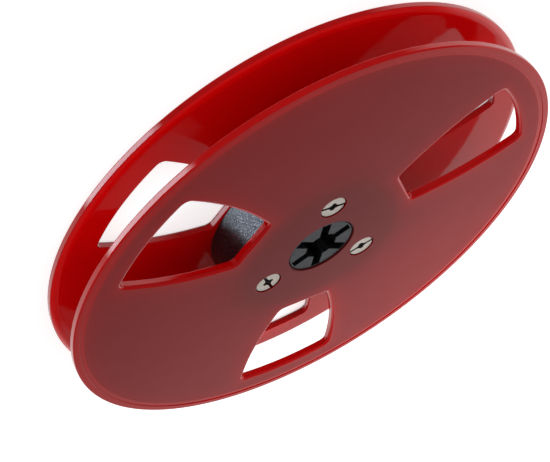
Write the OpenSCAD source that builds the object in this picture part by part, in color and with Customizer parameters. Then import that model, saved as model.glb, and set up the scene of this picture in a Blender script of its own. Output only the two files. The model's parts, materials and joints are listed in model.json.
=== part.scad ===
// Empty tape reel: two windowed flanges screwed to a hub with a slotted spindle bore.
// The reel lies flat. The Z axis is the spindle axis and Z = 0 is the plane that it rests on.

/* [Reel] */
// Outside diameter of both flanges
reel_d = 127; // [120:0.5:140]
// Width over the two rim bands
reel_w = 13.6; // [12.8:0.1:16]

/* [Flange] */
// Thickness of the flange plate
plate_t = 2; // [1.9:0.05:2.3]
// Height of the rim band above the satin face
rim_raise = 0.2; // [0.1:0.05:0.3]
// Radial width of the raised rim band
rim_band_w = 1.6; // [1:0.1:2.5]
// Rounding of the rim band's outer corner
rim_corner_r = 0.3; // [0.1:0.05:0.5]
// Thickness of the flange at its outer edge
rim_edge_t = 1.4; // [1:0.05:1.7]
// Radial width of the rounded lead-in on the inner face
lead_in_w = 2; // [1.2:0.1:3]
// Rounding round the outer mouth of the boss hole
hole_round_r = 0.3; // [0.2:0.1:0.8]

/* [Flange windows] */
// Distance from the reel's axis to a window's straight inner edge
window_in_r = 23.8; // [23.6:0.1:30]
// Radius of a window's outer edge, which is concentric with the reel
window_out_r = 55.5; // [50:0.5:57]
// Half of a window's width at its widest
window_half_w = 13.3; // [10:0.1:15]
// Distance from the reel's axis at which a window would be widest
window_wide_at = 54.4; // [50:0.1:56]
// Radius of a window's bowed sides
window_side_r = 75; // [65:1:120]
// Radius of a window's corners
window_corner_r = 1.8; // [1:0.1:3]

/* [Hub] */
// Diameter of the drum that the tape winds on
drum_d = 47; // [46:0.1:47.2]
// Diameter of the boss that passes through the flanges
boss_d = 16.9; // [16.5:0.1:18]
// Depth of the boss's ends below the satin faces
boss_sink = 0.3; // [0.1:0.05:0.5]
// Chamfer at each end of the boss
boss_chamfer = 0.1; // [0.05:0.05:0.3]
// Radial gap between the boss and the flange's hole
boss_gap = 0.2; // [0.05:0.05:0.3]
// Diameter of the spindle bore
bore_d = 8.1; // [7.9:0.05:8.4]
// Chamfer at each mouth of the spindle bore
bore_chamfer = 0.1; // [0.05:0.05:0.3]
// Width of each key slot
slot_w = 2.3; // [2:0.05:2.6]
// Distance from the axis to the end of a key slot
slot_reach = 8; // [7:0.05:8.05]
// Width of the slot in the drum that holds the tape's end
tape_slot_w = 1.2; // [0.8:0.1:1.6]
// Depth of that slot
tape_slot_depth = 5; // [3:0.5:7]

/* [Screws] */
// Diameter of the circle that the screws lie on
screw_circle_d = 30.4; // [29:0.1:32]
// Diameter of a screw's flat head
head_d = 6.2; // [6:0.05:6.3]
// Height of the short straight rim of a screw's head
head_rim_t = 0.12; // [0.05:0.01:0.2]
// Depth of a screw's head below the satin face
head_sink = 0.25; // [0.15:0.05:0.4]
// Radial gap between a screw's head and the mouth of its countersink
head_gap = 0.3; // [0.2:0.05:0.4]
// Gap between a screw's cone and its seat
seat_gap = 0.03; // [0.01:0.01:0.05]
// Outside diameter of the screw thread
thread_d = 3; // [2.9:0.05:3]
// Pitch of the screw thread
thread_pitch = 0.5; // [0.4:0.05:0.6]
// Radial gap between the thread's crests and the hub's screw hole
thread_gap = 0.05; // [0.02:0.01:0.08]
// Length of a screw from the top of its head to its tip
screw_l = 6; // [5:0.25:6.25]
// Width of the plain slot across a screw's head
drive_slot_w = 0.75; // [0.5:0.05:0.8]
// Depth of that slot
drive_slot_depth = 0.6; // [0.4:0.05:0.8]
// Width over the arms of a screw's cross recess
cross_span = 2.7; // [2.4:0.1:3]
// Width of each arm of the cross recess
cross_arm_w = 1; // [0.6:0.05:1.2]
// Diameter of the cross recess's round middle at the face of the head
cross_middle_d = 2.1; // [1.7:0.1:2.3]
// Depth of the cross recess
cross_depth = 1.2; // [0.9:0.05:1.3]

/* [Screw turns] */
// Angle at which each front screw's slot happens to stand
front_turn_1 = 175; // [0:1:359]
front_turn_2 = 117; // [0:1:359]
front_turn_3 = 20; // [0:1:359]
// Angle at which each rear screw's slot happens to stand
rear_turn_1 = 48; // [0:1:359]
rear_turn_2 = 155; // [0:1:359]
rear_turn_3 = 96; // [0:1:359]

/* [Hidden] */
$fn = 96;
// Extra length of a cutter past the face that it opens
over = 1;
window_count = 3;
screw_count = 3;
slot_count = 6;
// The first screw, and the first key slot, point along +Y
first_screw = 90;
// The first window points along -Y, between two screws
first_window = 270;
// The tape slot opens towards the first window, where a finger can hold the tape's end
tape_slot_at = first_window;

reel_r = reel_d / 2;
// Heights in a flange's own frame: its inner face is at 0 and its satin face at plate_t
rim_top = plate_t + rim_raise;
rim_edge_z = rim_top - rim_edge_t;
lead_in_r = (lead_in_w * lead_in_w + rim_edge_z * rim_edge_z) / (2 * rim_edge_z);
boss_r = boss_d / 2;
boss_hole_r = boss_r + boss_gap;
// Heights of the inner faces of the rear and the front flange
rear_inner_z = rim_top;
front_inner_z = reel_w - rim_top;
// Heights of the boss's two ends
boss_low_z = rim_raise + boss_sink;
boss_high_z = reel_w - boss_low_z;

screw_circle_r = screw_circle_d / 2;
head_r = head_d / 2;
thread_r = thread_d / 2;
thread_hole_r = thread_r + thread_gap;
// Flat heads have a 90 degree cone, so a cone's height equals the change of its radius
head_cone_h = head_r - thread_r;
head_top = plate_t - head_sink;
cone_top = head_top - head_rim_t;
// Depth of a basic 60 degree thread form
thread_depth = 0.6 * thread_pitch;
// The cross recess's middle stops above the floor of its arms
cross_middle_depth = 0.75 * cross_depth;
cross_middle_floor_r = 0.6 * cross_arm_w;

window_side_x = window_half_w - window_side_r;

function step(count, i) = 360 / count * i;
function unit(v) = v / norm(v);

// The point at distance ra from a and rb from b, on the left of the line from a to b
function crossing(a, ra, b, rb) =
    let (d = norm(b - a), u = (b - a) / d, along = (d * d + ra * ra - rb * rb) / (2 * d))
    let (off = sqrt(ra * ra - along * along))
    a + along * u + off * [-u[1], u[0]];

// Removes what lies outside a corner's rounding: centre, two tangent points and the sharp corner
module corner_waste(centre, tangent_a, tangent_b, sharp) {
    difference() {
        polygon([centre, tangent_a, centre + 2 * (sharp - centre), tangent_b]);
        translate(centre) circle(r = window_corner_r);
    }
}

// Corner between a bowed side and the concentric outer edge, on the +X side
module outer_corner_waste() {
    side = [window_side_x, -window_wide_at];
    centre = crossing([0, 0], window_out_r - window_corner_r, side, window_side_r - window_corner_r);
    sharp = crossing([0, 0], window_out_r, side, window_side_r);
    corner_waste(centre, side + window_side_r * unit(centre - side), window_out_r * unit(centre), sharp);
}

// Corner between a bowed side and the straight inner edge, on the +X side
module inner_corner_waste() {
    side = [window_side_x, -window_wide_at];
    reach = window_side_r - window_corner_r;
    centre_y = -window_in_r - window_corner_r;
    centre = [side[0] + sqrt(reach * reach - pow(centre_y - side[1], 2)), centre_y];
    sharp = [side[0] + sqrt(pow(window_side_r, 2) - pow(-window_in_r - side[1], 2)), -window_in_r];
    corner_waste(centre, side + window_side_r * unit(centre - side), [centre[0], -window_in_r], sharp);
}

// Outline of one window, pointing down the page from the reel's axis
module window_outline() {
    difference() {
        intersection() {
            circle(r = window_out_r);
            translate([window_side_x, -window_wide_at]) circle(r = window_side_r);
            translate([-window_side_x, -window_wide_at]) circle(r = window_side_r);
            translate([-reel_r, -reel_d]) square([reel_d, reel_d - window_in_r]);
        }
        for (flip = [0, 1]) mirror([flip, 0]) {
            outer_corner_waste();
            inner_corner_waste();
        }
    }
}

// Half section of a flange: radius across and height up, inner face at 0
module flange_section() {
    lead_start = reel_r - lead_in_w;
    band_start = reel_r - rim_band_w;
    corner_start = reel_r - rim_corner_r;
    // plate with the rounded mouth of the boss hole
    difference() {
        translate([boss_hole_r, 0]) square([lead_start - boss_hole_r, plate_t]);
        translate([boss_hole_r, plate_t - hole_round_r]) difference() {
            square(hole_round_r);
            translate([hole_round_r, 0]) circle(r = hole_round_r);
        }
    }
    // edge zone: the inner face curves up to the edge
    difference() {
        translate([lead_start, 0]) square([lead_in_w, plate_t]);
        difference() {
            translate([lead_start, 0]) square([lead_in_w, rim_edge_z]);
            translate([lead_start, lead_in_r]) circle(r = lead_in_r, $fn = 400);
        }
    }
    // raised band with a rounded outer corner
    difference() {
        translate([band_start, plate_t - rim_corner_r]) square([rim_band_w, rim_raise + rim_corner_r]);
        translate([corner_start, rim_top - rim_corner_r]) difference() {
            square(rim_corner_r);
            circle(r = rim_corner_r);
        }
    }
}

// Hole for a flat-headed screw: wide mouth, cone seat and shank
module countersink() {
    translate([0, 0, cone_top]) cylinder(r = head_r + head_gap, h = head_sink + head_rim_t + over);
    translate([0, 0, cone_top - head_cone_h])
        cylinder(r1 = thread_r + seat_gap, r2 = head_r + seat_gap, h = head_cone_h);
    translate([0, 0, -over]) cylinder(r = thread_hole_r, h = plate_t + over);
}

// A flange with its inner face at Z = 0 and its satin face up
module flange() {
    difference() {
        rotate_extrude($fn = 240) flange_section();
        for (i = [0 : window_count - 1])
            rotate(first_window + 90 + step(window_count, i)) translate([0, 0, -over])
                linear_extrude(rim_top + 2 * over) window_outline($fn = 240);
        for (i = [0 : screw_count - 1])
            rotate(first_screw + step(screw_count, i)) translate([screw_circle_r, 0, 0]) countersink();
    }
}

// Half section of the hub before it is bored
module hub_section() {
    translate([0, rear_inner_z]) square([drum_d / 2, front_inner_z - rear_inner_z]);
    polygon([[0, boss_low_z], [boss_r - boss_chamfer, boss_low_z], [boss_r, boss_low_z + boss_chamfer],
        [boss_r, boss_high_z - boss_chamfer], [boss_r - boss_chamfer, boss_high_z], [0, boss_high_z]]);
}

// Spindle bore with a chamfer at both mouths
module spindle_bore() {
    bore_r = bore_d / 2;
    translate([0, 0, -over]) cylinder(r = bore_r, h = reel_w + 2 * over);
    for (side = [0, 1]) translate([0, 0, side == 0 ? boss_low_z : boss_high_z]) mirror([0, 0, side])
        translate([0, 0, -over])
            cylinder(r1 = bore_r + bore_chamfer + over, r2 = bore_r, h = bore_chamfer + over);
}

module hub() {
    color("#2b2d2f") difference() {
        rotate_extrude($fn = 180) hub_section();
        spindle_bore();
        for (i = [0 : slot_count - 1])
            rotate(first_screw + step(slot_count, i))
                translate([0, -slot_w / 2, -over]) cube([slot_reach, slot_w, reel_w + 2 * over]);
        for (i = [0 : screw_count - 1])
            rotate(first_screw + step(screw_count, i)) translate([screw_circle_r, 0, rear_inner_z - over])
                cylinder(r = thread_hole_r, h = reel_w);
        rotate(tape_slot_at)
            translate([drum_d / 2 - tape_slot_depth, -tape_slot_w / 2, rear_inner_z - over])
                cube([tape_slot_depth + over, tape_slot_w, reel_w]);
    }
}

// Half section of a screw: the thread is drawn as closed rings
module screw_section() {
    tip_z = head_top - screw_l;
    thread_top = cone_top - head_cone_h;
    core_r = thread_r - thread_depth;
    turns = floor((thread_top - tip_z) / thread_pitch) - 1;
    polygon(concat(
        [[0, head_top], [head_r, head_top], [head_r, cone_top], [thread_r, thread_top]],
        [for (i = [0 : turns - 1], corner = [0, 1])
            [corner == 0 ? core_r : thread_r, thread_top - (i + (corner + 1) / 2) * thread_pitch]],
        [[core_r, tip_z + thread_depth], [core_r - thread_depth, tip_z], [0, tip_z]]));
}

// Plain slot and cross recess, cut down from a head's top at Z = 0
module drive_recess() {
    translate([-head_d, -drive_slot_w / 2, -drive_slot_depth])
        cube([2 * head_d, drive_slot_w, drive_slot_depth + over]);
    intersection() {
        union() {
            for (turn = [0, 90]) rotate(turn)
                translate([-cross_span / 2, -cross_arm_w / 2, -cross_depth])
                    cube([cross_span, cross_arm_w, cross_depth + over]);
        }
        translate([0, 0, -cross_depth])
            cylinder(r1 = cross_arm_w / 2, r2 = cross_span / 2, h = cross_depth);
    }
    translate([0, 0, -cross_middle_depth])
        cylinder(r1 = cross_middle_floor_r, r2 = cross_middle_d / 2, h = cross_middle_depth);
}

// A screw in a flange's own frame
module screw(turn) {
    color("#b9afa8") difference() {
        rotate_extrude($fn = 64) screw_section();
        translate([0, 0, head_top]) rotate(turn) drive_recess();
    }
}

// Places what is drawn in a flange's own frame on the front or the rear of the reel
module on_front() translate([0, 0, front_inner_z]) children();
module on_rear() translate([0, 0, rear_inner_z]) rotate([0, 180, 0]) children();

// Places a screw at its place in the circle, its turn measured from +X
module at_screw(i) {
    at = first_screw + step(screw_count, i);
    translate([screw_circle_r * cos(at), screw_circle_r * sin(at), 0]) children();
}

module front_flange() color("#a01018") on_front() flange();
module rear_flange() color("#a01018") on_rear() flange();
module front_screw_1() on_front() at_screw(0) screw(front_turn_1);
module front_screw_2() on_front() at_screw(1) screw(front_turn_2);
module front_screw_3() on_front() at_screw(2) screw(front_turn_3);
module rear_screw_1() on_rear() at_screw(0) screw(rear_turn_1);
module rear_screw_2() on_rear() at_screw(1) screw(rear_turn_2);
module rear_screw_3() on_rear() at_screw(2) screw(rear_turn_3);

front_flange();
rear_flange();
hub();
front_screw_1();
front_screw_2();
front_screw_3();
rear_screw_1();
rear_screw_2();
rear_screw_3();
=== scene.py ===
"""Looks for the empty tape reel: filleted flanges, a machined hub, plated screws, studio light and camera.

Lengths are in millimetres and turn into metres where a mesh, a light or the camera is made.
"""
import json
import math

import bpy
from mathutils import Matrix, Vector
from mathutils.geometry import tessellate_polygon


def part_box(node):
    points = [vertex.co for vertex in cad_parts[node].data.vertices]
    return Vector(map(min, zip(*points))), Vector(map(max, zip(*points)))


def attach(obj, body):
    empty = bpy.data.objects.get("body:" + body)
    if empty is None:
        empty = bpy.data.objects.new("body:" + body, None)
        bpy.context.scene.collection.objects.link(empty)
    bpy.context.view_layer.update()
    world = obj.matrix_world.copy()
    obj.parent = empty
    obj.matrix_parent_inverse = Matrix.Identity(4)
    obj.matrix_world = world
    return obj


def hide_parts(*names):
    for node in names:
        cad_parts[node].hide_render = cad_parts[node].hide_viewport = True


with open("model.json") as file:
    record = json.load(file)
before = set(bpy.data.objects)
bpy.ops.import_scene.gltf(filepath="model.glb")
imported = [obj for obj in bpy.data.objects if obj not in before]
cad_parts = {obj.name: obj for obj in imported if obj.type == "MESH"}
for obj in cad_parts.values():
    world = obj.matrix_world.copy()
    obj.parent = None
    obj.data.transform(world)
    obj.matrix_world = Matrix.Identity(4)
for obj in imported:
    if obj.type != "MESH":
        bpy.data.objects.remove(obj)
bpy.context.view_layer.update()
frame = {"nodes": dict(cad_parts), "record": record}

MM = 0.001


def node_box(name):
    """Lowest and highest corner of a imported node, in millimetres."""
    low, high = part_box(name)
    return Vector(low) / MM, Vector(high) / MM


def mount(name):
    return next(m for m in frame["record"]["mounts"] if m["name"] == name)


# Sizes that the frame gives
front_low, front_high = node_box("front_flange")
hub_low, hub_high = node_box("hub")
reel_r = front_high.x
reel_w = front_high.z
front_inner_z = front_low.z
flange_t = reel_w - front_inner_z
rear_inner_z = flange_t
bore_r = mount("spindle_bore")["dims"]["r_mm"]

# Flange: heights are above its inner face, and widths at the rim are measured inwards from its edge
rim_raise = 0.2
plate_t = flange_t - rim_raise
rim_band_w = 1.6
satin_edge_w = 2.75
rim_step_round = 0.06
rim_corner_r = 0.3
rim_edge_z = 0.8
rim_edge_round = 0.3
lead_in_w = 2.0
lead_in_r = (lead_in_w ** 2 + rim_edge_z ** 2) / (2 * rim_edge_z)
boss_hole_r = 8.65
boss_hole_round = 0.3
inner_edge_break = 0.15

# Flange windows, drawn for the one that points along -Y
window_count = 3
window_in_r = 23.8
window_out_r = 55.5
window_half_w = 13.3
window_wide_at = 54.4
window_side_r = 75.0
window_corner_r = 1.8
window_outer_round = 0.7
window_inner_round = 0.3

# Screws and their countersinks
screw_count = 3
first_screw = 90
screw_circle_r = 15.2
head_below_rim = 0.45
thread_hole_r = 1.55
sink_mouth_r = 3.4
sink_mouth_round = 0.06
sink_ledge_z = 1.63
sink_ledge_r = 3.13
sink_bottom_z = 0.05

# Hub
drum_r = 23.5
drum_edge_break = 0.1
boss_r = 8.45
boss_chamfer = 0.1
bore_edge_break = 0.03
slot_count = 6
slot_half_w = 1.15
slot_reach = 8.0
tape_slot_half_w = 0.6
tape_slot_end_r = 18.5

# How many straight pieces stand for each curve
RIM_STEPS = 288
DRUM_STEPS = 176
BOSS_STEPS = 128
BOSS_HOLE_STEPS = 96
SINK_STEPS = 64
THREAD_HOLE_STEPS = 32
BORE_ARC_STEPS = 6
WINDOW_SIDE_STEPS = 24
WINDOW_CORNER_STEPS = 10
LEAD_IN_STEPS = 10
WIDE_ROUND_STEPS = 8
EDGE_ROUND_STEPS = 6
FINE_ROUND_STEPS = 4
STEP_ROUND_STEPS = 3

# The flanges' materials, by the tag of a face. The last one paints shade on the walls of the countersinks
# and the boss hole
SATIN, BAND, WALL, INNER, JOINT_SHADE = 0, 1, 2, 3, 4

# Each pair is the darkest and the lightest colour of one material
SATIN_RED = (0.232, 0.004, 0.0045), (0.244, 0.005, 0.0055)
# The next three are one polished red plastic, made lighter or darker by face to paint the light each face
# gets: the band's least, the walls' more, the inner faces' most, a painted glow
BAND_RED = (0.41, 0.0015, 0.002), (0.44, 0.002, 0.0025)
WALL_RED = (0.51, 0.0015, 0.002), (0.54, 0.002, 0.0025)
INNER_GLOW_RED = (0.74, 0.0010, 0.0015), (0.78, 0.0014, 0.002)
# Painted shade: the walls of the countersinks and the boss hole are the same plastic as the rest, made dark
# red
JOINT_SHADE_RED = (0.065, 0.001, 0.001), (0.085, 0.0015, 0.0015)
HUB_BLACK = (0.036, 0.038, 0.043), (0.15, 0.157, 0.171)
NICKEL = (0.57, 0.52, 0.455), (0.68, 0.63, 0.565)

# Painted light in the satin face's colour: a painted glow next to its edges, where light comes through the
# clear red plastic, and painted shade where the drum behind it keeps the light out
PLASTIC_IOR = 1.49
EDGE_GLOW_RED = (0.47, 0.002, 0.0025)
EDGE_GLOW = 0.55
EDGE_GLOW_REACH = 2.2
DRUM_SHADE = 0.36
DRUM_SHADE_R = 20
DRUM_SHADE_REACH = 7

# The slot and the cross are darker: the dark colour starts and is full at these depths below the face of a
# screw's head
SLOT_DARK = (0.015, 0.014, 0.013)
SLOT_DARK_FROM, SLOT_DARK_FULL = 0.02, 0.08

# Light that falls on the reel: it dims upwards, from the horizon to a direction whose Z is ZENITH_FROM
HORIZON, ZENITH = 1.7, 0.48
ZENITH_FROM = 0.6

# What the reel mirrors instead: a room that is bright beyond it, and dim overhead and behind the camera
ROOM_BEYOND, ROOM_OVERHEAD, ROOM_NEAR = 1.05, 0.06, 0.1
AWAY_WAY, AWAY_RANGE = (0.399, -0.8, -0.447), (0.0, 0.2)
OVERHEAD_WAY, OVERHEAD_RANGE = (-0.3, 0, 1), (0.1, 0.46)

# A low lamp beside the reel, which only reflections see, and where its sides, its top and its bottom fade
SIDE_LAMP_WAY, SIDE_LAMP_RANGE = (-0.982, 0.191, 0), (0.76, 0.796)
SIDE_LAMP_TOP = (-0.49, -0.455)
SIDE_LAMP_BOTTOM = (-0.66, -0.60)
SIDE_LAMP_COLOUR = (0.84, 0.91, 1, 1)
SIDE_LAMP_STRENGTH = 8.5

# Floor, with a light of its own that only the camera sees
FLOOR_HALF = 3000
FLOOR_COLOUR = (0.8, 0.8, 0.8, 1)
FLOOR_OWN = 0.67
WHITE = (1, 1, 1, 1)

# Key lamp
KEY_AT, KEY_TO = (52, -47, 110), (83, -75, 13)
KEY_SIZE = 80
KEY_WATTS = 0.07

# Camera
CAMERA_AT, CAMERA_TO = (-129.68, 243.82, 141.38), (-15.60, 15.23, 13.6)
CAMERA_ROLL = 146.68
CAMERA_LENS = 84.86

# Sockets of a Mix node's colours, which share their names with those of its other values
MIX_FIRST, MIX_SECOND, MIX_RESULT = 6, 7, 2


def unit(vector):
    return vector / vector.length


def around(radius, degrees):
    angle = math.radians(degrees)
    return Vector((radius * math.cos(angle), radius * math.sin(angle)))


def line(start, end, tag=0):
    """A straight piece of a 2-D path: (point, left normal) pairs and the tag of its faces."""
    start, end = Vector(start), Vector(end)
    way = unit(end - start)
    left = Vector((-way.y, way.x))
    return [(start, left), (end, left)], tag


def arc(centre, radius, start, end, steps, tag=0):
    """A round piece of a 2-D path, from one angle to another in degrees."""
    side = -1 if end > start else 1
    pairs = []
    for i in range(steps + 1):
        way = around(1, start + (end - start) * i / steps)
        pairs.append((Vector(centre) + radius * way, side * way))
    return pairs, tag


def path(pieces, closed):
    """Joins pieces end to end: the points, how each moves per unit of offset to the left, and the edges."""
    points, lefts, edges = [], [], []
    for pairs, tag in pieces:
        for i, (point, left) in enumerate(pairs):
            if i == 0 and points:
                lefts[-1] = (lefts[-1] + left) / (1 + lefts[-1].dot(left))
            else:
                points.append(point)
                lefts.append(left.copy())
            if i:
                edges.append((len(points) - 2, len(points) - 1, pairs[i - 1][1], left, tag))
    if closed:
        lefts[0] = (lefts[0] + lefts[-1]) / (1 + lefts[0].dot(lefts[-1]))
        points.pop()
        lefts.pop()
        last = len(points)
        edges = [(a, b % last, left_a, left_b, tag) for a, b, left_a, left_b, tag in edges]
    return points, lefts, edges


def circle(radius, steps, hole, centre=(0, 0)):
    """A closed round outline that keeps the material on its left."""
    start, end = (360, 0) if hole else (0, 360)
    return path([arc(centre, radius, start, end, steps)], True)


class Skin:
    """A closed mesh built from walls that follow an outline and flat caps between their rings."""

    def __init__(self):
        self.points, self.faces, self.normals, self.tags = [], [], [], []

    def face(self, corners, normals, tag):
        a, b, c = (self.points[i] for i in corners[:3])
        if (b - a).cross(c - a).dot(sum(normals, Vector((0, 0, 0)))) < 0:
            corners, normals = corners[::-1], normals[::-1]
        self.faces.append(corners)
        self.normals.append(normals)
        self.tags.append(tag)

    def wall(self, outline, profile):
        """Sweeps a profile of (depth into the material, height) along an outline. Gives its end rings."""
        points, lefts, edges = outline
        depths, _, profile_edges = profile
        rings = []
        for depth, height in depths:
            first = len(self.points)
            for point, left in zip(points, lefts):
                flat = point + depth * left
                self.points.append(Vector((flat.x, flat.y, height)))
            rings.append([first + i for i in range(len(points))])
        for low, high, left_low, left_high, tag in profile_edges:
            for a, b, left_a, left_b, _ in edges:
                corners = [rings[low][a], rings[low][b], rings[high][b], rings[high][a]]
                pairs = ((left_a, left_low), (left_b, left_low), (left_b, left_high), (left_a, left_high))
                normals = [Vector((-n.x * m.x, -n.x * m.y, -n.y)) for m, n in pairs]
                self.face(corners, normals, tag)
        return rings[0], rings[-1]

    def cap(self, rings, up, tag):
        """Fills the flat face between a ring and the rings of the holes in it."""
        flat = [[self.points[i] for i in ring] for ring in rings]
        index = [i for ring in rings for i in ring]
        normal = Vector((0, 0, 1 if up else -1))
        for triangle in tessellate_polygon(flat):
            self.face([index[i] for i in triangle], [normal] * 3, tag)

    def build(self, name, materials, place=Matrix.Identity(4)):
        mesh = bpy.data.meshes.new(name)
        turn = place.to_3x3()
        points = [place @ point * MM for point in self.points]
        mesh.from_pydata(points, [], self.faces)
        for material in materials:
            mesh.materials.append(material)
        for polygon, tag in zip(mesh.polygons, self.tags):
            polygon.material_index = tag
            polygon.use_smooth = True
        mesh.normals_split_custom_set([turn @ n for group in self.normals for n in group])
        mesh.update()
        mesh.validate()
        obj = bpy.data.objects.new(name, mesh)
        bpy.context.scene.collection.objects.link(obj)
        return obj


def crossing(a, radius_a, b, radius_b):
    """The point at those distances from a and b, on the left of the line from a to b."""
    span = (b - a).length
    way = (b - a) / span
    along = (span ** 2 + radius_a ** 2 - radius_b ** 2) / (2 * span)
    off = math.sqrt(radius_a ** 2 - along ** 2)
    return a + along * way + off * Vector((-way.y, way.x))


def degrees_of(vector):
    return math.degrees(math.atan2(vector.y, vector.x))


def window_outline(turn):
    """One window's outline, clockwise, turned about the axis by that many degrees."""
    side = Vector((window_half_w - window_side_r, -window_wide_at))
    reach = window_side_r - window_corner_r
    outer = crossing(Vector((0, 0)), window_out_r - window_corner_r, side, reach)
    inner_y = -window_in_r - window_corner_r
    inner = Vector((side.x + math.sqrt(reach ** 2 - (inner_y - side.y) ** 2), inner_y))
    side_in, side_out = degrees_of(inner - side), degrees_of(outer - side)
    outer_way = degrees_of(outer)

    def placed(centre, mirrored=False):
        x = -centre.x if mirrored else centre.x
        return Matrix.Rotation(math.radians(turn), 2) @ Vector((x, centre.y))

    def right(centre, radius, start, end, steps):
        return arc(placed(centre), radius, start + turn, end + turn, steps)

    def left(centre, radius, start, end, steps):
        return arc(placed(centre, True), radius, 180 - start + turn, 180 - end + turn, steps)

    origin = Vector((0, 0))
    start = Vector((inner.x, -window_in_r))
    return path([
        line(placed(start, True), placed(start)),
        right(inner, window_corner_r, 90, side_in, WINDOW_CORNER_STEPS),
        right(side, window_side_r, side_in, side_out, WINDOW_SIDE_STEPS),
        right(outer, window_corner_r, side_out, outer_way, WINDOW_CORNER_STEPS),
        right(origin, window_out_r, outer_way, -180 - outer_way, WINDOW_SIDE_STEPS),
        left(outer, window_corner_r, outer_way, side_out, WINDOW_CORNER_STEPS),
        left(side, window_side_r, side_out, side_in, WINDOW_SIDE_STEPS),
        left(inner, window_corner_r, side_in, 90, WINDOW_CORNER_STEPS),
    ], True)


def rim_profile():
    """From the satin face over the rim band and round the edge to the inner face."""
    top = plate_t + rim_raise
    step = rim_band_w
    reach_x = lead_in_w - rim_edge_round
    reach = lead_in_r - rim_edge_round
    edge_centre = Vector((rim_edge_round, lead_in_r - math.sqrt(reach ** 2 - reach_x ** 2)))
    lead_centre = Vector((lead_in_w, lead_in_r))
    meet = degrees_of(edge_centre - lead_centre) % 360
    small = rim_step_round
    return path([
        line((satin_edge_w, plate_t), (step, plate_t), BAND),
        line((step, plate_t), (step, top - small), BAND),
        arc((step - small, top - small), small, 0, 90, STEP_ROUND_STEPS, BAND),
        line((step - small, top), (rim_corner_r, top), BAND),
        arc((rim_corner_r, top - rim_corner_r), rim_corner_r, 90, 180, WIDE_ROUND_STEPS, WALL),
        line((0, top - rim_corner_r), (0, edge_centre.y), WALL),
        arc(edge_centre, rim_edge_round, 180, meet, EDGE_ROUND_STEPS, WALL),
        arc(lead_centre, lead_in_r, meet, 270, LEAD_IN_STEPS, INNER),
    ], False)


def hole_profile(outer_round, inner_round, wall, mouth):
    """Straight hole through the plate with both of its mouths rounded."""
    return path([
        arc((outer_round, plate_t - outer_round), outer_round, 90, 180, WIDE_ROUND_STEPS, mouth),
        line((0, plate_t - outer_round), (0, inner_round), wall),
        arc((inner_round, inner_round), inner_round, 180, 270, FINE_ROUND_STEPS, wall),
    ], False)


def sink_profile():
    """Mouth, ledge, cone and shank hole of a countersink, measured from the mouth's wall."""
    small = sink_mouth_round
    ledge = sink_ledge_r - sink_mouth_r
    shank = thread_hole_r - sink_mouth_r
    return path([
        arc((small, plate_t - small), small, 90, 180, FINE_ROUND_STEPS, BAND),
        line((0, plate_t - small), (0, sink_ledge_z), JOINT_SHADE),
        line((0, sink_ledge_z), (ledge, sink_ledge_z), JOINT_SHADE),
        line((ledge, sink_ledge_z), (shank, sink_bottom_z), JOINT_SHADE),
        line((shank, sink_bottom_z), (shank, 0), JOINT_SHADE),
    ], False)


def screw_places():
    return [around(screw_circle_r, first_screw + 360 / screw_count * i) for i in range(screw_count)]


def flange_skin():
    """A flange with its inner face at Z = 0 and its satin face up."""
    skin = Skin()
    ends = [skin.wall(circle(reel_r, RIM_STEPS, False), rim_profile())]
    for i in range(window_count):
        profile = hole_profile(window_outer_round, window_inner_round, WALL, BAND)
        ends.append(skin.wall(window_outline(360 / window_count * i), profile))
    # The boss hole's walls carry the painted shade
    mouth = hole_profile(boss_hole_round, inner_edge_break, JOINT_SHADE, JOINT_SHADE)
    ends.append(skin.wall(circle(boss_hole_r, BOSS_HOLE_STEPS, True), mouth))
    for centre in screw_places():
        ends.append(skin.wall(circle(sink_mouth_r, SINK_STEPS, True, centre), sink_profile()))
    skin.cap([end[0] for end in ends], True, SATIN)
    skin.cap([end[1] for end in ends], False, INNER)
    return skin


def drum_outline():
    """The drum's round outline with the notch that holds the tape's end, at -Y."""
    half = math.degrees(math.asin(tape_slot_half_w / drum_r))
    mouth_y = around(drum_r, 270 - half).y
    left, right = -tape_slot_half_w, tape_slot_half_w
    return path([
        arc((0, 0), drum_r, -90 + half, 270 - half, DRUM_STEPS),
        line((left, mouth_y), (left, -tape_slot_end_r)),
        line((left, -tape_slot_end_r), (right, -tape_slot_end_r)),
        line((right, -tape_slot_end_r), (right, mouth_y)),
    ], True)


def bore_outline():
    """The bore with its key slots, clockwise."""
    half = math.degrees(math.asin(slot_half_w / bore_r))
    near = math.sqrt(bore_r ** 2 - slot_half_w ** 2)
    pitch = 360 / slot_count
    pieces = []
    for i in range(slot_count):
        way = first_screw - pitch * i
        out = around(1, way)
        aside = slot_half_w * Vector((out.y, -out.x))
        pieces.append(line(near * out - aside, slot_reach * out - aside))
        pieces.append(line(slot_reach * out - aside, slot_reach * out + aside))
        pieces.append(line(slot_reach * out + aside, near * out + aside))
        pieces.append(arc((0, 0), bore_r, way - half, way - pitch + half, BORE_ARC_STEPS))
    return path(pieces, True)


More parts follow.
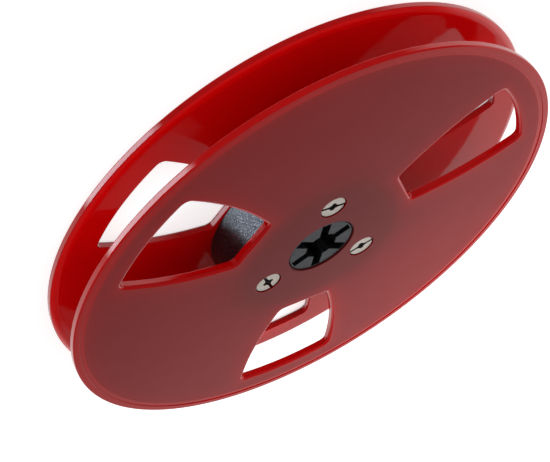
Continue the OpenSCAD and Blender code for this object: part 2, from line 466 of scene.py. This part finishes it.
def hub_skin():
    """The drum with its boss at both ends, the slotted bore and the screws' holes."""
    skin = Skin()
    flat, small, tiny = boss_chamfer, bore_edge_break, drum_edge_break
    low, high = hub_low.z, hub_high.z
    bore_top, bore_bottom = skin.wall(bore_outline(), path([
        line((small, high), (0, high - small)),
        line((0, high - small), (0, low + small)),
        line((0, low + small), (small, low)),
    ], False))
    boss = circle(boss_r, BOSS_STEPS, False)
    boss_top, shoulder_top = skin.wall(boss, path([
        line((flat, high), (0, high - flat)),
        line((0, high - flat), (0, front_inner_z)),
    ], False))
    shoulder_bottom, boss_bottom = skin.wall(boss, path([
        line((0, rear_inner_z), (0, low + flat)),
        line((0, low + flat), (flat, low)),
    ], False))
    drum_top, drum_bottom = skin.wall(drum_outline(), path([
        line((tiny, front_inner_z), (0, front_inner_z - tiny)),
        line((0, front_inner_z - tiny), (0, rear_inner_z + tiny)),
        line((0, rear_inner_z + tiny), (tiny, rear_inner_z)),
    ], False))
    straight = path([line((0, front_inner_z), (0, rear_inner_z))], False)
    holes = [skin.wall(circle(thread_hole_r, THREAD_HOLE_STEPS, True, centre), straight)
             for centre in screw_places()]
    skin.cap([boss_top, bore_top], True, 0)
    skin.cap([boss_bottom, bore_bottom], False, 0)
    skin.cap([drum_top, shoulder_top] + [top for top, _ in holes], True, 0)
    skin.cap([drum_bottom, shoulder_bottom] + [bottom for _, bottom in holes], False, 0)
    return skin


class Shader:
    """Short names for building a node material around one Principled shader."""

    def __init__(self, name):
        self.material = bpy.data.materials.new(name)
        self.material.use_nodes = True
        self.tree = self.material.node_tree
        self.shader = self.tree.nodes["Principled BSDF"]
        self.place = self.node("ShaderNodeTexCoord").outputs["Object"]

    def node(self, kind, **values):
        node = self.tree.nodes.new(kind)
        for name, value in values.items():
            setattr(node, name, value)
        return node

    def link(self, source, target):
        self.tree.links.new(source, target)

    def set(self, **values):
        for name, value in values.items():
            self.shader.inputs[name.replace("_", " ")].default_value = value

    def drive(self, name, source):
        self.link(source, self.shader.inputs[name])

    def axes(self):
        """The object's own X, Y and Z at the shaded place, in metres."""
        node = self.node("ShaderNodeSeparateXYZ")
        self.link(self.place, node.inputs[0])
        return node.outputs

    def noise(self, size_mm, detail=2.0, roughness=0.5):
        """Noise whose lumps are about that many millimetres across, from 0 to 1."""
        node = self.node("ShaderNodeTexNoise")
        node.inputs["Scale"].default_value = 1 / (size_mm * MM)
        node.inputs["Detail"].default_value = detail
        node.inputs["Roughness"].default_value = roughness
        self.link(self.place, node.inputs["Vector"])
        return node.outputs["Fac"]

    def spread(self, value, low_in, high_in, low_out, high_out):
        """Takes one range of a value smoothly to another."""
        node = self.node("ShaderNodeMapRange", interpolation_type="SMOOTHSTEP")
        self.link(value, node.inputs["Value"])
        limits = {"From Min": low_in, "From Max": high_in, "To Min": low_out, "To Max": high_out}
        for name, number in limits.items():
            node.inputs[name].default_value = number
        return node.outputs["Result"]

    def math(self, operation, first, second=0):
        node = self.node("ShaderNodeMath", operation=operation)
        for socket, value in zip(node.inputs, (first, second)):
            if isinstance(value, (int, float)):
                socket.default_value = value
            else:
                self.link(value, socket)
        return node.outputs["Value"]

    def mix(self, factor, first, second):
        node = self.node("ShaderNodeMix", data_type="RGBA")
        self.link(factor, node.inputs["Factor"])
        for number, value in ((MIX_FIRST, first), (MIX_SECOND, second)):
            if isinstance(value, tuple):
                node.inputs[number].default_value = (*value, 1)
            else:
                self.link(value, node.inputs[number])
        return node.outputs[MIX_RESULT]

    def cloudy(self, noise, colours, low_in=0.3, high_in=0.7):
        """A colour that wanders between two with a noise."""
        return self.mix(self.spread(noise, low_in, high_in, 0, 1), *colours)

    def bump(self, height, depth_mm, strength=1.0):
        node = self.node("ShaderNodeBump")
        node.inputs["Strength"].default_value = strength
        node.inputs["Distance"].default_value = depth_mm * MM
        self.link(height, node.inputs["Height"])
        self.drive("Normal", node.outputs["Normal"])


def face_distances(s):
    """Millimetres from a place on a flange's face to the axis, and to the nearest window or rim band."""
    axes = s.axes()
    x, y = (s.math("DIVIDE", axes[name], MM) for name in "XY")

    def length(a, b):
        return s.math("SQRT", s.math("ADD", s.math("MULTIPLY", a, a), s.math("MULTIPLY", b, b)))

    r = length(x, y)
    # How far out along the middle line of the nearest window, and how far aside from it.
    # The first window points along -Y, and two whole pitches keep the angle above zero.
    pitch = 2 * math.pi / window_count
    turn = s.math("ADD", s.math("ARCTAN2", y, x), math.pi / 2 + 2.5 * pitch)
    angle = s.math("ABSOLUTE", s.math("SUBTRACT", s.math("MODULO", turn, pitch), pitch / 2))
    out = s.math("MULTIPLY", r, s.math("COSINE", angle))
    aside = s.math("MULTIPLY", r, s.math("SINE", angle))
    to_centre = length(s.math("ADD", aside, window_side_r - window_half_w),
                       s.math("SUBTRACT", out, window_wide_at))
    side = s.math("SUBTRACT", to_centre, window_side_r)
    ends = s.math("MAXIMUM", s.math("SUBTRACT", r, window_out_r), s.math("SUBTRACT", window_in_r, out))
    window = s.math("MAXIMUM", side, ends)
    rim = s.math("SUBTRACT", reel_r - rim_band_w, r)
    return r, s.math("MAXIMUM", s.math("MINIMUM", window, rim), 0)


def fading(s, distance, reach):
    """1 at no distance, falling off over that many millimetres."""
    return s.math("EXPONENT", s.math("DIVIDE", distance, -reach))


def satin_red():
    """The flanges' frosted outer face, with a painted glow at its edges and painted shade over the drum."""
    s = Shader("satin_red")
    s.set(IOR=PLASTIC_IOR, Specular_IOR_Level=0.2)
    plain = s.cloudy(s.noise(14, 3), SATIN_RED)
    r, edge = face_distances(s)
    # Painted shade over the drum, and a painted glow next to the windows and the rim band
    beyond_drum = s.math("MAXIMUM", s.math("SUBTRACT", r, DRUM_SHADE_R), 0)
    shade = s.math("MULTIPLY", fading(s, beyond_drum, DRUM_SHADE_REACH), DRUM_SHADE)
    glow = s.math("MULTIPLY", fading(s, edge, EDGE_GLOW_REACH), EDGE_GLOW)
    shaded = s.mix(shade, plain, (0, 0, 0))
    s.drive("Base Color", s.mix(glow, shaded, EDGE_GLOW_RED))
    s.drive("Roughness", s.spread(s.noise(5, 4), 0.3, 0.7, 0.29, 0.33))
    s.bump(s.noise(0.12, 2), 0.008, 0.3)
    return s.material


def polished_red(name, colours, ior=PLASTIC_IOR, blur=0.0):
    """One of the flanges' polished faces, with faint scuffs. Blur is added to its roughness."""
    s = Shader(name)
    s.set(IOR=ior)
    s.drive("Base Color", s.cloudy(s.noise(20, 2), colours))
    scuff = s.noise(1.4, 5, 0.7)
    s.drive("Roughness", s.spread(scuff, 0.45, 0.8, 0.06 + blur, 0.14 + blur))
    s.bump(s.noise(6, 1), 0.02, 0.15)
    return s.material


def blasted_black():
    """The hub's fine blasted metal with a small sparkle."""
    s = Shader("blasted_black")
    s.set(IOR=1.5, Metallic=0.94)
    grain = s.noise(0.28, 3, 0.75)
    s.drive("Base Color", s.cloudy(grain, HUB_BLACK, 0.42, 0.66))
    s.drive("Roughness", s.spread(grain, 0.4, 0.7, 0.32, 0.24))
    s.bump(grain, 0.03, 0.45)
    return s.material


def plated_screw():
    """Dull nickel, darker in the slot and the cross."""
    s = Shader("plated_screw")
    s.set(Metallic=0.3)
    wear = s.noise(0.7, 4, 0.6)
    plate = s.cloudy(wear, NICKEL, 0.35, 0.7)
    # The slot and the cross get a dark colour below the face of the head
    from_middle = s.math("ABSOLUTE", s.math("SUBTRACT", s.axes()["Z"], reel_w / 2 * MM))
    head_z = (reel_w / 2 - head_below_rim) * MM
    on_head_face = s.spread(from_middle, head_z - SLOT_DARK_FULL * MM, head_z - SLOT_DARK_FROM * MM, 0, 1)
    s.drive("Base Color", s.mix(on_head_face, SLOT_DARK, plate))
    s.drive("Roughness", s.spread(wear, 0.3, 0.7, 0.34, 0.48))
    s.bump(s.noise(0.09, 2), 0.004, 0.5)
    return s.material


def dress_flanges(materials):
    skin = flange_skin()
    front_place = Matrix.Translation((0, 0, front_inner_z))
    rear_place = Matrix.Translation((0, 0, rear_inner_z)) @ Matrix.Rotation(math.pi, 4, "Y")
    for node, place in (("front_flange", front_place), ("rear_flange", rear_place)):
        piece = skin.build(node + "_moulding", materials, place)
        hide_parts(node)
        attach(piece, "root")


def dress_hub(material):
    piece = hub_skin().build("hub_machined", [material])
    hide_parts("hub")
    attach(piece, "root")


def dress_screws(material):
    for name, node in frame["nodes"].items():
        if "screw" in name:
            node.data.materials.clear()
            node.data.materials.append(material)


def aim(obj, at, target, roll=0.0):
    """Puts obj at one point and turns its -Z axis to another, both in millimetres."""
    at, target = Vector(at), Vector(target)
    look = (target - at).to_track_quat("-Z", "Y").to_matrix().to_4x4()
    turn = Matrix.Rotation(math.radians(roll), 4, "Z")
    obj.matrix_world = Matrix.Translation(at * MM) @ look @ turn


def add_camera():
    """The photograph's view: 27 degrees above the front face, rolled so that the far side points right."""
    data = bpy.data.cameras.new("camera")
    data.sensor_width = 36
    data.lens = CAMERA_LENS
    data.clip_start = 0.01
    data.clip_end = 20
    camera = bpy.data.objects.new("camera", data)
    bpy.context.scene.collection.objects.link(camera)
    aim(camera, CAMERA_AT, CAMERA_TO, CAMERA_ROLL)
    bpy.context.scene.camera = camera


def add_key():
    """A square lamp that lights the reel and isn't seen in reflections."""
    data = bpy.data.lights.new("key", "AREA")
    data.shape = "RECTANGLE"
    data.size = KEY_SIZE * MM
    data.size_y = KEY_SIZE * MM
    data.energy = KEY_WATTS
    light = bpy.data.objects.new("key", data)
    bpy.context.scene.collection.objects.link(light)
    aim(light, KEY_AT, KEY_TO)
    light.visible_glossy = False


def level(tree, source, low_in, high_in, low_out, high_out):
    """Takes one range of a value evenly to another. Each is a number or a node's output."""
    node = tree.nodes.new("ShaderNodeMapRange")
    for socket, value in zip(node.inputs, (source, low_in, high_in, low_out, high_out)):
        if isinstance(value, (int, float)):
            socket.default_value = value
        else:
            tree.links.new(value, socket)
    return node.outputs["Result"]


def add_floor():
    """A plain white floor that keeps the reel's shadow and isn't seen in reflections."""
    half = FLOOR_HALF * MM
    mesh = bpy.data.meshes.new("floor")
    corners = [(-half, -half, 0), (half, -half, 0), (half, half, 0), (-half, half, 0)]
    mesh.from_pydata(corners, [], [(0, 1, 2, 3)])
    floor = bpy.data.objects.new("floor", mesh)
    bpy.context.scene.collection.objects.link(floor)
    material = bpy.data.materials.new("floor_white")
    material.use_nodes = True
    tree = material.node_tree
    tree.nodes.clear()
    link = tree.links.new
    diffuse = tree.nodes.new("ShaderNodeBsdfDiffuse")
    diffuse.inputs["Color"].default_value = FLOOR_COLOUR
    own = tree.nodes.new("ShaderNodeEmission")
    both = tree.nodes.new("ShaderNodeAddShader")
    clear = tree.nodes.new("ShaderNodeBsdfTransparent")
    pick = tree.nodes.new("ShaderNodeMixShader")
    rays = tree.nodes.new("ShaderNodeLightPath").outputs
    output = tree.nodes.new("ShaderNodeOutputMaterial")
    link(level(tree, rays["Is Camera Ray"], 0, 1, 0, FLOOR_OWN), own.inputs["Strength"])
    link(diffuse.outputs[0], both.inputs[0])
    link(own.outputs[0], both.inputs[1])
    link(rays["Is Glossy Ray"], pick.inputs[0])
    link(both.outputs[0], pick.inputs[1])
    link(clear.outputs[0], pick.inputs[2])
    link(pick.outputs[0], output.inputs["Surface"])
    mesh.materials.append(material)


def add_world():
    """Light from all sides on the reel, a room and a side lamp in its reflections, white for the camera."""
    world = bpy.data.worlds.new("studio")
    world.use_nodes = True
    bpy.context.scene.world = world
    tree = world.node_tree
    link = tree.links.new
    background = tree.nodes["Background"]
    rays = tree.nodes.new("ShaderNodeLightPath").outputs
    way = tree.nodes.new("ShaderNodeTexCoord").outputs["Generated"]
    axes = tree.nodes.new("ShaderNodeSeparateXYZ")
    link(way, axes.inputs[0])
    height = axes.outputs["Z"]

    def lean(axis, limits, low_out, high_out):
        """A level that depends on how far a direction leans along an axis."""
        along = tree.nodes.new("ShaderNodeVectorMath")
        along.operation = "DOT_PRODUCT"
        along.inputs[1].default_value = axis
        link(way, along.inputs[0])
        return level(tree, along.outputs["Value"], *limits, low_out, high_out)

    lighting = level(tree, height, 0, ZENITH_FROM, HORIZON, ZENITH)

    beyond = lean(OVERHEAD_WAY, OVERHEAD_RANGE, ROOM_BEYOND, ROOM_OVERHEAD)
    room = lean(AWAY_WAY, AWAY_RANGE, ROOM_NEAR, beyond)
    below_top = level(tree, height, *SIDE_LAMP_TOP, 1, 0)
    in_width = lean(SIDE_LAMP_WAY, SIDE_LAMP_RANGE, 0, below_top)
    side_lamp = level(tree, height, *SIDE_LAMP_BOTTOM, 0, in_width)
    mirrored = level(tree, side_lamp, 0, 1, room, SIDE_LAMP_STRENGTH)

    is_glossy = rays["Is Glossy Ray"]
    tint = tree.nodes.new("ShaderNodeMix")
    tint.data_type = "RGBA"
    tint.inputs[MIX_FIRST].default_value = WHITE
    tint.inputs[MIX_SECOND].default_value = SIDE_LAMP_COLOUR
    link(level(tree, is_glossy, 0, 1, 0, side_lamp), tint.inputs["Factor"])
    link(tint.outputs[MIX_RESULT], background.inputs["Color"])
    unseen = level(tree, is_glossy, 0, 1, lighting, mirrored)
    link(level(tree, rays["Is Camera Ray"], 0, 1, unseen, 1), background.inputs["Strength"])


dress_flanges([
    satin_red(),
    polished_red("band_red", BAND_RED),
    polished_red("wall_red", WALL_RED),
    polished_red("inner_glow_red", INNER_GLOW_RED),
    # Painted shade for the walls of the countersinks and the boss hole
    polished_red("joint_shade_red", JOINT_SHADE_RED, ior=1.2, blur=0.3),
])
dress_hub(blasted_black())
dress_screws(plated_screw())
add_camera()
add_floor()
add_world()
add_key()
bpy.context.scene.view_settings.view_transform = "Standard"

bpy.context.view_layer.update()
